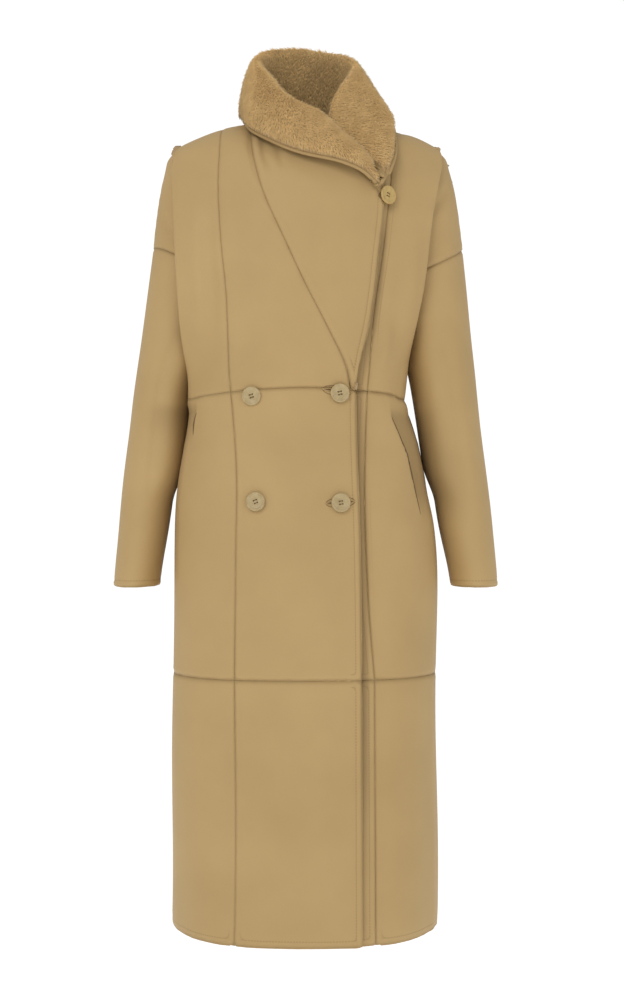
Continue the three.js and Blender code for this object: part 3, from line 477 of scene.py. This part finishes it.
def beside_front_edge(place):
    """The strip of the left front that lies in the shade of the edge above it."""
    away = place[:, 0] - front_edge_x(place[:, 2])
    strip = ramp(away, -0.004, 0.0005) * (1 - ramp(away, 0.006, 0.014))
    up, down = ramp(place[:, 2], -1.12, -0.85), 1 - ramp(place[:, 2], -0.2, -0.14)
    return EDGE_SHADE * strip * up * down


# Each pocket's mouth as (x, z) points from its top
POCKET_LEFT = [
    (0.1237, -0.4369), (0.129, -0.4487), (0.1459, -0.4897), (0.1575, -0.541), (0.1657, -0.5755),
]
POCKET_RIGHT = [(-0.1549, -0.4304), (-0.1575, -0.439), (-0.1591, -0.4466), (-0.1600, -0.462)]
POCKET_SHADE = 0.4
POCKET_DEPTH = 0.009


def behind_pocket(place):
    """The strip of side behind each pocket's mouth, a little set back and in shade."""
    total, height = np.zeros(len(place)), place[:, 2]
    for line, side in ((POCKET_LEFT, 1), (POCKET_RIGHT, -1)):
        xs, zs = zip(*reversed(line))
        away = side * (place[:, 0] - np.interp(height, zs, xs))
        above_end = ramp(height, zs[0] - 0.02, zs[0] + 0.05)
        span = above_end * (1 - ramp(height, zs[-1], zs[-1] + 0.02))
        total += POCKET_SHADE * span * ramp(away, 0.0, 0.0025) * (1 - ramp(away, 0.03, 0.09))
    return total


def set_back(place, normal, rim):
    return -POCKET_DEPTH * behind_pocket(place) * (normal[:, 1] < 0)


HEM_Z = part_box("front_right_centre_lower")[0].z


def at_hem(place):
    return 1 - ramp(place[:, 2] - HEM_Z, *FINISHED_BAND)


CUFF_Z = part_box("sleeve_right")[0].z


def at_cuff(place):
    """Only the sleeves stand so far out at the cuff's height."""
    beside = ramp(np.abs(place[:, 0]), 0.20, 0.21)
    return (1 - ramp(np.abs(place[:, 2] - CUFF_Z), *FINISHED_BAND)) * beside


def finish_cloth(piece, node):
    """Gives a shaped sheet its wall of hide with the fleece inside, and hides the solid it stands
    for.
    """
    piece.data.materials.clear()
    piece.data.materials.append(leather)
    piece.data.materials.append(fleece)
    piece.data.polygons.foreach_set("use_smooth", [True] * len(piece.data.polygons))
    wall = piece.modifiers.new("Hide", "SOLIDIFY")
    wall.thickness = HIDE_THICKNESS
    wall.offset = -1
    wall.material_offset = 1
    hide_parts(node)
    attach(piece, "root")


def cord(name, loops, radius, material, taper=None):
    """A round cord along each list of points, made thinner at each by the shares in taper."""
    curve = bpy.data.curves.new(name, "CURVE")
    curve.dimensions = "3D"
    curve.bevel_depth = radius
    curve.bevel_resolution = 2
    curve.use_fill_caps = True
    for loop in loops:
        spline = curve.splines.new("POLY")
        spline.use_cyclic_u = (loop[0] - loop[-1]).length < 1e-6
        loop = loop[:-1] if spline.use_cyclic_u else loop
        spline.points.add(len(loop) - 1)
        for point, place, share in zip(spline.points, loop, taper or [1] * len(loop)):
            point.co = (*place, 1)
            point.radius = share
    holder = bpy.data.objects.new(name, curve)
    bpy.context.scene.collection.objects.link(holder)
    shown = holder.evaluated_get(bpy.context.evaluated_depsgraph_get())
    mesh = bpy.data.meshes.new_from_object(shown)
    bpy.data.objects.remove(holder)
    bpy.data.curves.remove(curve)
    mesh.name = name
    mesh.materials.clear()
    mesh.materials.append(material)
    mesh.polygons.foreach_set("use_smooth", [True] * len(mesh.polygons))
    piece = bpy.data.objects.new(name, mesh)
    bpy.context.scene.collection.objects.link(piece)
    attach(piece, "root")
    return piece


def sew_panel(node, facing, forms, level=3):
    """One cut piece: its sheet, its folds, its wall and the seam allowance beneath its edge.
    share, a column of the tables below, is how much of the rectangle flat the cut fills; it is not
    used."""
    sheet = outer_sheet(node, facing)
    piece = as_piece(node + "_hide", sheet, level)
    shape_cloth(piece, [pressed_seam, sway, pucker, *forms])
    finish_cloth(piece, node)
    allowance = [loop[::TAPE_STEP] + [loop[-1]] for loop in cut_edges(piece.data, sink=TAPE_SINK)]
    tape = cord(node + "_seam", allowance, TAPE_RADIUS, leather)
    return piece


edge_row = stitched_edge(at_front_edge)
hem_row = stitched_edge(at_hem)
chest_folds = [
    fold([(-0.158, -0.12), (-0.155, -0.20), (-0.148, -0.32)], 0.012, 0.0036),
    fold([(-0.139, -0.14), (-0.136, -0.24), (-0.128, -0.35)], 0.013, -0.0036),
    fold([(-0.079, -0.02), (-0.077, -0.05), (-0.068, -0.095)], 0.006, -0.0034),
    fold([(-0.070, -0.02), (-0.068, -0.06), (-0.058, -0.10)], 0.007, 0.0028),
    fold([(-0.062, -0.03), (-0.059, -0.06), (-0.050, -0.085)], 0.005, -0.0028),
    fold([(-0.040, -0.04), (-0.036, -0.065), (-0.030, -0.085)], 0.005, -0.0022),
    fold([(-0.03, -0.33), (-0.08, -0.36), (-0.112, -0.385)], 0.012, 0.0018),
    fold([(-0.210, -0.130), (-0.205, -0.145), (-0.197, -0.165)], 0.006, -0.0022),
]
for part, forms, flat, share, neighbour in (
    ("side_upper", chest_folds, (0.30, 0.44), 0.60, "centre_upper"),
    ("centre_upper", chest_folds, (0.18, 0.40), 0.60, "side_upper"),
    ("lapel", [edge_row, *chest_folds], (0.24, 0.40), 0.42, "centre_upper"),
    ("side_middle", [set_back], (0.20, 0.39), 0.90, "side_upper"),
    ("centre_middle", [edge_row], (0.19, 0.40), 0.95, "side_middle"),
    ("side_lower", [hem_row], (0.21, 0.37), 0.93, "side_middle"),
    ("centre_lower", [edge_row, hem_row], (0.18, 0.37), 0.97, "centre_middle"),
):
    sew_panel("front_right_" + part, FRONT, forms)

# Left front: six pieces of the same hide, sewn as the right front is. It is buttoned beneath
# the right front, so its own edge is hidden.
left_folds = [
    fold([(0.216, -0.092), (0.200, -0.115), (0.182, -0.140)], 0.008, -0.0032),
    fold([(0.160, -0.15), (0.156, -0.22), (0.146, -0.33)], 0.013, 0.0030),
    fold([(0.140, -0.17), (0.136, -0.25), (0.124, -0.36)], 0.013, -0.0030),
    fold([(0.122, -0.30), (0.116, -0.34), (0.104, -0.385)], 0.010, 0.0028),
]
for part, flat, share in (
    ("side_upper", (0.30, 0.42), 0.60),
    ("centre_upper", (0.20, 0.44), 0.62),
    ("side_middle", (0.20, 0.40), 0.90),
    ("centre_middle", (0.17, 0.41), 0.96),
    ("side_lower", (0.205, 0.37), 0.94),
    ("centre_lower", (0.18, 0.37), 0.96),
):
    hem = [hem_row] if part.endswith("lower") else [set_back]
    folds = left_folds if part.endswith("upper") else []
    sew_panel("front_left_" + part, FRONT, hem + folds)

# Back: three wide pieces of the same hide, each cut whole across the middle. They are sewn to
# the fronts at the sides, and to each other at the waist and skirt seams.
back_folds = [
    fold([(side * 0.142, -0.14), (side * 0.136, -0.24), (side * 0.122, -0.36)], 0.014, height, BACK)
    for side, height in ((-1, -0.0034), (1, -0.0029))
] + [
    fold([(side * 0.160, -0.12), (side * 0.154, -0.22), (side * 0.142, -0.34)], 0.013, 0.0032, BACK)
    for side in (-1, 1)
]
sew_panel("back_upper", BACK, back_folds)
sew_panel("back_middle", BACK, [], level=2)
sew_panel("back_lower", BACK, [hem_row], level=2)

# Sleeves: a tube of hide each, fleece inside, sewn to the dropped armhole. The cuff is turned
# in, with a row of stitches round it.
cuff_row = stitched_edge(at_cuff)
ARM_REST = 0.011


def arm_rest(place, normal, rim):
    """The sleeve hangs beside the body, so below the armpit its inner wall leans towards it."""
    inward = -np.sign(place[:, 0]) * normal[:, 0]
    span = ramp(place[:, 2], -0.56, -0.50) * (1 - ramp(place[:, 2], -0.36, -0.30))
    return ARM_REST * ramp(inward, 0.1, 0.8) * span


for side, outward in (("right", -1), ("left", 1)):
    facing, rests_on = Vector((outward, 0, 0)), ["front_" + side + "_side_upper"]
    sew_panel("sleeve_" + side, facing, [cuff_row, arm_rest])

# Collar: one wide piece of shearling, fur side out, folded over round the neck. Its free
# edge is bound in leather and stands a little below the fur.
COLLAR_WALL = 0.008
SKIN_THICKNESS = 0.006
SKIN_SINK = 0.0075
WOOL_RISE = 0.004
LUMP_DEPTH = 0.012
sheet = outer_sheet("collar", FRONT, wall=COLLAR_WALL, passes=0)
collar = as_piece("collar_fur", sheet, 2)


def plush(place, normal, rim):
    """The skin under the wool, higher away from the bound edge and softly lumped."""
    lumps = sum(np.sin(place @ np.array(wave) * 2.6 + phase) / wave.length for wave, phase in SWAY)
    return WOOL_RISE * ramp(rim, 0.001, 0.009) - SKIN_SINK + LUMP_DEPTH * lumps


shape_cloth(collar, [plush])
collar.data.materials.clear()
collar.data.materials.append(fleece)
collar.data.materials.append(leather)
collar.data.polygons.foreach_set("use_smooth", [True] * len(collar.data.polygons))
wall = collar.modifiers.new("Skin", "SOLIDIFY")
wall.thickness = SKIN_THICKNESS
wall.offset = -1
wall.material_offset = 1
wall.material_offset_rim = 1
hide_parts("collar")
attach(collar, "root")

# Collar pile: the wool of that shearling, combed down and to the side, as tufts rooted in the
# skin. They are shorter and sparser towards the bound edge.
PILE_COUNT = 54000
PILE_LENGTH = 0.0075
LOCK_RADIUS = 0.00075
LOCK_STRAY = 0.32
LOCK_SIZES = (0.6, 1.25)
pile_color = toned_material("combed wool", (0.94, 0.665, 0.300, 1), (0.73, 0.485, 0.200, 1),
                            48, 420, 0.0004, 0.9, 0.5)


def comb_over(mesh):
    """Lays the wool down along the skin, with a slow drift from side to side."""
    place, normal = points_of(mesh)
    turn = sum(np.sin(place @ np.array(wave) * 1.7 + phase) for wave, phase in SWAY) / 3
    lay = np.column_stack((0.45 + 0.5 * turn, 0.15 * turn, np.full(len(place), -1.0)))
    lay -= normal * np.sum(lay * normal, axis=1)[:, None]
    lay /= np.linalg.norm(lay, axis=1)[:, None] + 1e-6
    lean = 0.62 * normal + lay
    mesh.attributes.new("lean", "FLOAT_VECTOR", "POINT").data.foreach_set("vector", lean.ravel())
    rim = np.zeros(len(place))
    mesh.attributes["rim"].data.foreach_get("value", rim)
    growth = ramp(rim, 0.0015, 0.011)
    mesh.attributes.new("growth", "FLOAT", "POINT").data.foreach_set("value", growth)


def tuft():
    """One pointed lock of wool, standing on the ground plane."""
    lock = bmesh.new()
    bmesh.ops.create_cone(lock, segments=3, radius1=LOCK_RADIUS, radius2=0, depth=PILE_LENGTH)
    bmesh.ops.remove_doubles(lock, verts=lock.verts, dist=1e-6)
    bmesh.ops.translate(lock, verts=lock.verts, vec=(0, 0, PILE_LENGTH * 0.4))
    mesh = bpy.data.meshes.new("lock")
    lock.to_mesh(mesh)
    lock.free()
    return bpy.data.objects.new("lock", mesh)


def pile_on(skin, name, lock, count, seed):
    """Tufts over a skin, drawn by geometry nodes that are applied to the new piece."""
    tree = bpy.data.node_groups.new(name, "GeometryNodeTree")
    tree.interface.new_socket("Geometry", in_out="INPUT", socket_type="NodeSocketGeometry")
    tree.interface.new_socket("Geometry", in_out="OUTPUT", socket_type="NodeSocketGeometry")
    nodes, link = tree.nodes, tree.links.new
    given, made = nodes.new("NodeGroupInput"), nodes.new("NodeGroupOutput")
    strew = nodes.new("GeometryNodeDistributePointsOnFaces")
    area = sum(polygon.area for polygon in skin.polygons)
    strew.inputs["Seed"].default_value = seed
    growth = nodes.new("GeometryNodeInputNamedAttribute")
    growth.data_type = "FLOAT"
    growth.inputs["Name"].default_value = "growth"
    spread = nodes.new("ShaderNodeMath")
    spread.operation = "MULTIPLY"
    spread.inputs[1].default_value = count / area
    link(growth.outputs["Attribute"], spread.inputs[0])
    link(spread.outputs["Value"], strew.inputs["Density"])
    lean = nodes.new("GeometryNodeInputNamedAttribute")
    lean.data_type = "FLOAT_VECTOR"
    lean.inputs["Name"].default_value = "lean"
    stray = nodes.new("FunctionNodeRandomValue")
    stray.data_type = "FLOAT_VECTOR"
    stray.inputs[0].default_value = [-LOCK_STRAY] * 3
    stray.inputs[1].default_value = [LOCK_STRAY] * 3
    both = nodes.new("ShaderNodeVectorMath")
    both.operation = "ADD"
    point_up = nodes.new("FunctionNodeAlignRotationToVector")
    point_up.axis = "Z"
    size = nodes.new("FunctionNodeRandomValue")
    size.data_type = "FLOAT"
    size.inputs[2].default_value, size.inputs[3].default_value = LOCK_SIZES
    grown = nodes.new("ShaderNodeMath")
    grown.operation = "MULTIPLY"
    plant = nodes.new("GeometryNodeInstanceOnPoints")
    lock_info = nodes.new("GeometryNodeObjectInfo")
    lock_info.inputs["Object"].default_value = lock
    solid = nodes.new("GeometryNodeRealizeInstances")
    link(given.outputs[0], strew.inputs["Mesh"])
    link(lean.outputs["Attribute"], both.inputs[0])
    link(stray.outputs[0], both.inputs[1])
    link(both.outputs["Vector"], point_up.inputs["Vector"])
    link(strew.outputs["Points"], plant.inputs["Points"])
    link(lock_info.outputs["Geometry"], plant.inputs["Instance"])
    link(point_up.outputs["Rotation"], plant.inputs["Rotation"])
    link(size.outputs[1], grown.inputs[0])
    link(growth.outputs["Attribute"], grown.inputs[1])
    link(grown.outputs["Value"], plant.inputs["Scale"])
    link(plant.outputs["Instances"], solid.inputs["Geometry"])
    link(solid.outputs["Geometry"], made.inputs[0])
    piece = bpy.data.objects.new(name, skin)
    bpy.context.scene.collection.objects.link(piece)
    planted = piece.modifiers.new("Pile", "NODES")
    planted.node_group = tree
    shown = piece.evaluated_get(bpy.context.evaluated_depsgraph_get())
    piece.data = bpy.data.meshes.new_from_object(shown)
    piece.modifiers.clear()
    piece.data.name = name
    bpy.data.node_groups.remove(tree)
    return piece


# The free edge of the collar is bound in a narrow fold of hide.
BINDING_RADIUS = 0.0026
binding = cord("collar_binding", cut_edges(collar.data), BINDING_RADIUS, leather)

comb_over(collar.data)
lock = tuft()
pile = pile_on(collar.data, "collar_pile", lock, PILE_COUNT, 3)
bpy.data.objects.remove(lock)
pile.data.materials.clear()
pile.data.materials.append(pile_color)
pile.data.polygons.foreach_set("use_smooth", [True] * len(pile.data.polygons))
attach(pile, "root")

# Buttons: horn-look discs with a raised rim and a dished middle, each with four holes sewn
# through with thread. The top one is yellower and turned with the collar's edge.
HOLE_APART = 0.0021
HOLE_RADIUS = 0.0011
THREAD_RADIUS = 0.0005
# The disc's section from the middle of its back to the middle of its face, as shares of its
# radius and its thickness
BUTTON_SECTION = (
    (0, 0), (0.86, 0), (0.97, 0.22), (1, 0.5), (0.985, 0.8), (0.94, 0.97), (0.87, 1),
    (0.80, 0.93), (0.74, 0.74), (0.6, 0.62), (0.3, 0.56), (0, 0.55),
)
horn = toned_material("horn", (0.47, 0.365, 0.195, 1), (0.36, 0.265, 0.125, 1),
                      160, 900, 0.0001, 0.3, 0.0)
yellow_horn = toned_material("yellow horn", (0.55, 0.39, 0.15, 1), (0.42, 0.28, 0.09, 1),
                             160, 900, 0.0001, 0.3, 0.0)
# One dark brown for real thread, and for the painted shade in buttonhole slits and pocket mouths.
thread_and_shade = toned_material("thread_and_shade", (0.17, 0.105, 0.04, 1), (0.11, 0.065, 0.025, 1),
                        300, 2000, 0.0001, 0.8, 0.1)


def seat_of(node):
    """Where a button's solid stands: middle of its back, outward axis, radius and thickness."""
    place, _ = points_of(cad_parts[node].data)
    middle = (place.min(axis=0) + place.max(axis=0)) / 2
    _, _, axes = np.linalg.svd(place - place.mean(axis=0))
    axis = axes[2] * (1 if axes[2][1] < 0 else -1)
    heights = (place - middle) @ axis
    across = np.linalg.norm(place - middle - heights[:, None] * axis, axis=1).max()
    back = middle + heights.min() * axis
    return Vector(back), Vector(axis), across, heights.max() - heights.min()


def turned_disc(radius, thick):
    """A button without holes, its back on the ground plane."""
    disc = bmesh.new()
    ring = [disc.verts.new((share * radius, 0, up * thick)) for share, up in BUTTON_SECTION]
    sides = [disc.edges.new(pair) for pair in zip(ring, ring[1:])]
    around = {"axis": (0, 0, 1), "cent": (0, 0, 0), "angle": 2 * math.pi}
    bmesh.ops.spin(disc, geom=ring + sides, steps=64, **around)
    bmesh.ops.remove_doubles(disc, verts=disc.verts, dist=1e-5)
    bmesh.ops.recalc_face_normals(disc, faces=disc.faces)
    return disc


def drill_at(corners, depth):
    """Four rods as thick as a button's holes, to cut them with."""
    cutter, size = bmesh.new(), {"radius1": HOLE_RADIUS, "radius2": HOLE_RADIUS, "depth": depth}
    for x, y in corners:
        made = bmesh.ops.create_cone(cutter, segments=20, cap_ends=True, **size)
        bmesh.ops.translate(cutter, verts=made["verts"], vec=(x, y, 0))
    return cutter


def button_on(node, material, turn):
    """A turned disc on the seat of a button's solid, its holes cut through and sewn."""
    back, axis, radius, thick = seat_of(node)
    corners = []
    for quarter in range(4):
        angle = turn + quarter * math.pi / 2
        corners.append((math.cos(angle) * HOLE_APART * 1.414, math.sin(angle) * HOLE_APART * 1.414))
    disc, cutter = turned_disc(radius, thick), drill_at(corners, thick * 3)
    pieces = []
    for name, source in ((node + "_disc", disc), (node + "_drill", cutter)):
        mesh = bpy.data.meshes.new(name)
        source.to_mesh(mesh)
        source.free()
        pieces.append(bpy.data.objects.new(name, mesh))
        bpy.context.scene.collection.objects.link(pieces[-1])
    button, drill = pieces
    holes = button.modifiers.new("Holes", "BOOLEAN")
    holes.operation = "DIFFERENCE"
    holes.object = drill
    shown = button.evaluated_get(bpy.context.evaluated_depsgraph_get())
    button.data = bpy.data.meshes.new_from_object(shown)
    button.modifiers.clear()
    bpy.data.objects.remove(drill)
    facing = axis.to_track_quat("Z", "Y").to_matrix().to_4x4()
    facing.translation = back
    button.data.transform(facing)
    button.data.materials.clear()
    button.data.materials.append(material)
    button.data.shade_smooth()
    button.data.set_sharp_from_angle(angle=math.radians(35))
    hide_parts(node)
    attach(button, "root")
    face = thick * 0.57
    below, above, bars = face - 0.001, face + 0.0003, []
    for first, second in (corners[:2], corners[2:]):
        stitch = ((*first, below), (*first, above), (*second, above), (*second, below))
        bars.append([facing @ Vector(point) for point in stitch])
    cord(node + "_thread", bars, THREAD_RADIUS, thread_and_shade)


for name, material, turn in (
    ("top", yellow_horn, 0.5), ("waist_right", horn, 1.1), ("waist_left", horn, 1.0),
    ("lower_right", horn, 1.2), ("lower_left", horn, 0.95),
):
    button_on("button_" + name, material, turn)

# Buttonholes: two slits in the right front beside its edge, each with lips of corded hide. A
# row of stitches is sewn round them.
HOLE_STEPS = 48


def on_cloth(x, z, lift):
    """The point of the cloth that the front shows at x and z, raised off it by lift."""
    shown = bpy.context.evaluated_depsgraph_get()
    place, piece = Vector((x, -1, z)), None
    while piece is None or not piece.name.endswith("_hide"):
        start = place + BACK * 1e-4
        _, place, normal, _, piece, _ = bpy.context.scene.ray_cast(shown, start, BACK)
    return place + normal * lift


def buttonhole(name, start, end):
    """The lips, the stitches and the painted shade in the slit between them, each a long thin ring
    of cord.
    """
    run = Vector((end[0] - start[0], end[1] - start[1]))
    across = Vector((-run.y, run.x)).normalized()
    for part, half_width, lift, radius, material in (
        ("lips", 0.0022, 0.0003, 0.0010, leather),
        ("gap", 0.0007, 0.0001, 0.0009, thread_and_shade),
        ("row", 0.0072, 0.0, 0.0004, thread_and_shade),
    ):
        loop = []
        for step in range(HOLE_STEPS + 1):
            angle = 2 * math.pi * step / HOLE_STEPS
            along = 0.5 - 0.5 * math.cos(angle)
            spot = Vector(start) + run * along + across * half_width * math.sin(angle)
            loop.append(on_cloth(spot.x, spot.y, lift))
        cord(name + "_" + part, [loop], radius, material)


buttonhole("buttonhole_waist", (0.0254, -0.3985), (0.0665, -0.4035))
buttonhole("buttonhole_lower", (0.0300, -0.5600), (0.0707, -0.5568))

# Top buttonhole: the top button goes through a gap left in the front edge, just below the
# collar. It shows as a short dark opening with a wavering edge, drawn as a tapered cord of painted
# shade.
GAP_TOP_X, GAP_TOP_Z = 0.1085, -0.113
GAP_STEP = 0.0022
GAP_WAVER = 0.002
GAP_POINTS = 10
gap, taper = [], []
for step in range(GAP_POINTS):
    x, z = GAP_TOP_X + GAP_WAVER * math.sin(step), GAP_TOP_Z - GAP_STEP * step
    gap.append(on_cloth(x, z, 0.0004))
    taper.append(math.sin(math.pi * (step + 0.6) / (GAP_POINTS + 0.2)))
cord("buttonhole_top_gap", [gap], 0.0021, thread_and_shade, taper)

# Pockets: a slanted slit in each side of the front, with its bag hidden inside. Only the mouth
# shows, as a dark cord of painted shade that narrows towards both its ends.
MOUTH_STEP = 0.004
MOUTH_RADIUS = 0.0013


def pocket(name, line):
    """The painted shade in a pocket's mouth, as a dark cord along a line of (x, z) points."""
    points = []
    for (ax, az), (bx, bz) in zip(line, line[1:]):
        count = max(2, int(math.dist((ax, az), (bx, bz)) / MOUTH_STEP))
        points += [(ax + (bx - ax) * k / count, az + (bz - az) * k / count) for k in range(count)]
    points.append(line[-1])
    loop = [on_cloth(x, z, 0.0001) for x, z in points]
    shares = [min(0.98, 0.06 + 0.92 * k / (len(loop) - 1)) for k in range(len(loop))]
    taper = [math.sin(math.pi * share) ** 0.6 for share in shares]
    cord(name, [loop], MOUTH_RADIUS, thread_and_shade, taper)


pocket("pocket_left", POCKET_LEFT)
pocket("pocket_right", POCKET_RIGHT)

# Room: a pale flat floor below the hem, with an even white studio round it. Two broad soft
# lamps stand in front, the brighter one high on the left.
FLOOR_Z = -1.6
room = bmesh.new()
bmesh.ops.create_grid(room, x_segments=1, y_segments=1, size=6)
floor_mesh = bpy.data.meshes.new("floor")
room.to_mesh(floor_mesh)
room.free()
floor = bpy.data.objects.new("floor", floor_mesh)
floor.location.z = FLOOR_Z
bpy.context.scene.collection.objects.link(floor)
paper = bpy.data.materials.new("pale paper")
paper.use_nodes = True
surface = paper.node_tree.nodes["Principled BSDF"].inputs
surface["Base Color"].default_value = (0.9, 0.9, 0.9, 1)
surface["Emission Color"].default_value = (1, 1, 1, 1)
surface["Emission Strength"].default_value = 0.5
floor_mesh.materials.append(paper)

world = bpy.data.worlds.new("studio")
world.use_nodes = True
glow = world.node_tree.nodes["Background"]
glow.inputs["Color"].default_value = (1, 1, 1, 1)
seen = world.node_tree.nodes.new("ShaderNodeLightPath")
level = world.node_tree.nodes.new("ShaderNodeMapRange")
level.inputs["To Min"].default_value = 0.62
level.inputs["To Max"].default_value = 1.05
world.node_tree.links.new(seen.outputs["Is Camera Ray"], level.inputs["Value"])
world.node_tree.links.new(level.outputs["Result"], glow.inputs["Strength"])
bpy.context.scene.world = world


def add_lamp(name, place, aim, width, power):
    """A square soft lamp of the given width, turned towards a point."""
    lamp = bpy.data.lights.new(name, "AREA")
    lamp.size = width
    lamp.energy = power
    holder = bpy.data.objects.new(name, lamp)
    holder.location = place
    holder.rotation_euler = (Vector(aim) - Vector(place)).to_track_quat("-Z", "Y").to_euler()
    bpy.context.scene.collection.objects.link(holder)


add_lamp("key", (-1.3, -2.6, 1.4), (0, 0, -0.4), 1.6, 30)
add_lamp("fill", (2.0, -2.0, 0.4), (0, 0, -0.5), 1.8, 8)

# Camera: level, on the photograph's own line of sight. It stands in front of the coat at half
# its height, and its frame is upright.
lens = bpy.data.cameras.new("camera")
lens.sensor_fit = "VERTICAL"
lens.sensor_height = 36
lens.lens = 55.9
camera = bpy.data.objects.new("camera", lens)
camera.location = (0.0104, -2.3, -0.555)
camera.rotation_euler = (math.pi / 2, 0, 0)
bpy.context.scene.collection.objects.link(camera)
bpy.context.scene.camera = camera
bpy.context.scene.view_settings.view_transform = "Standard"
